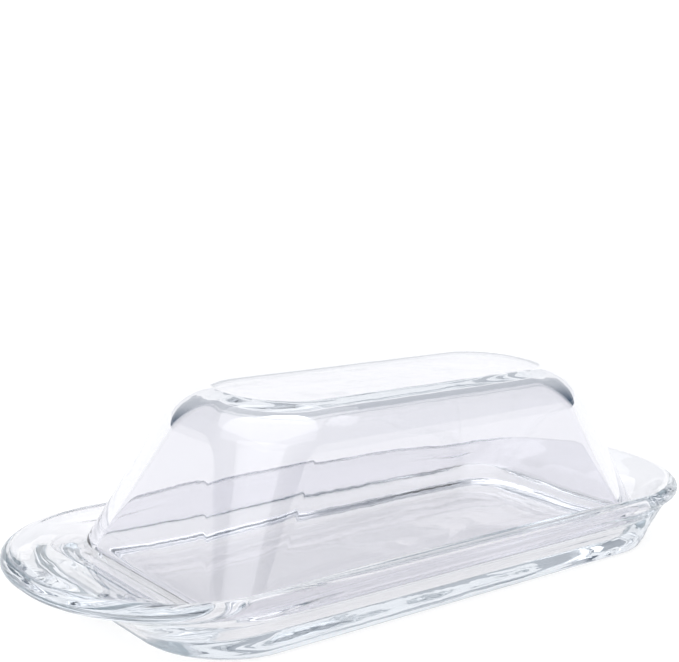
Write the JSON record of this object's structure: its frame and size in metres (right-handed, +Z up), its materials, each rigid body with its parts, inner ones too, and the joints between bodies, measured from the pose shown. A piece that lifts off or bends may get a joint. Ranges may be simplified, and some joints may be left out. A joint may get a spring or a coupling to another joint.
{
  "type": "butter dish",
  "caption": "Oblong clear glass butter dish with handle ends and a loose glass cover that stands on a seat inside the dish and lifts off.",
  "frame": {"origin": "centre of the plane of the foot ring that the dish stands on", "axes": "+X along the dish from handle end to handle end, +Y across the dish, +Z up"},
  "size_m": [0.2, 0.075, 0.0482],
  "materials": {
    "glass": "clear pressed glass, fire polished"
  },
  "bodies": {
    "dish": {"dish": "glass"},
    "cover": {"cover": "glass"}
  },
  "joints": [
    {"name": "cover_lift", "type": "slide", "parent": "dish", "child": "cover", "axis": [0, 0, 1], "range_m": [0, 0.07]}
  ]
}
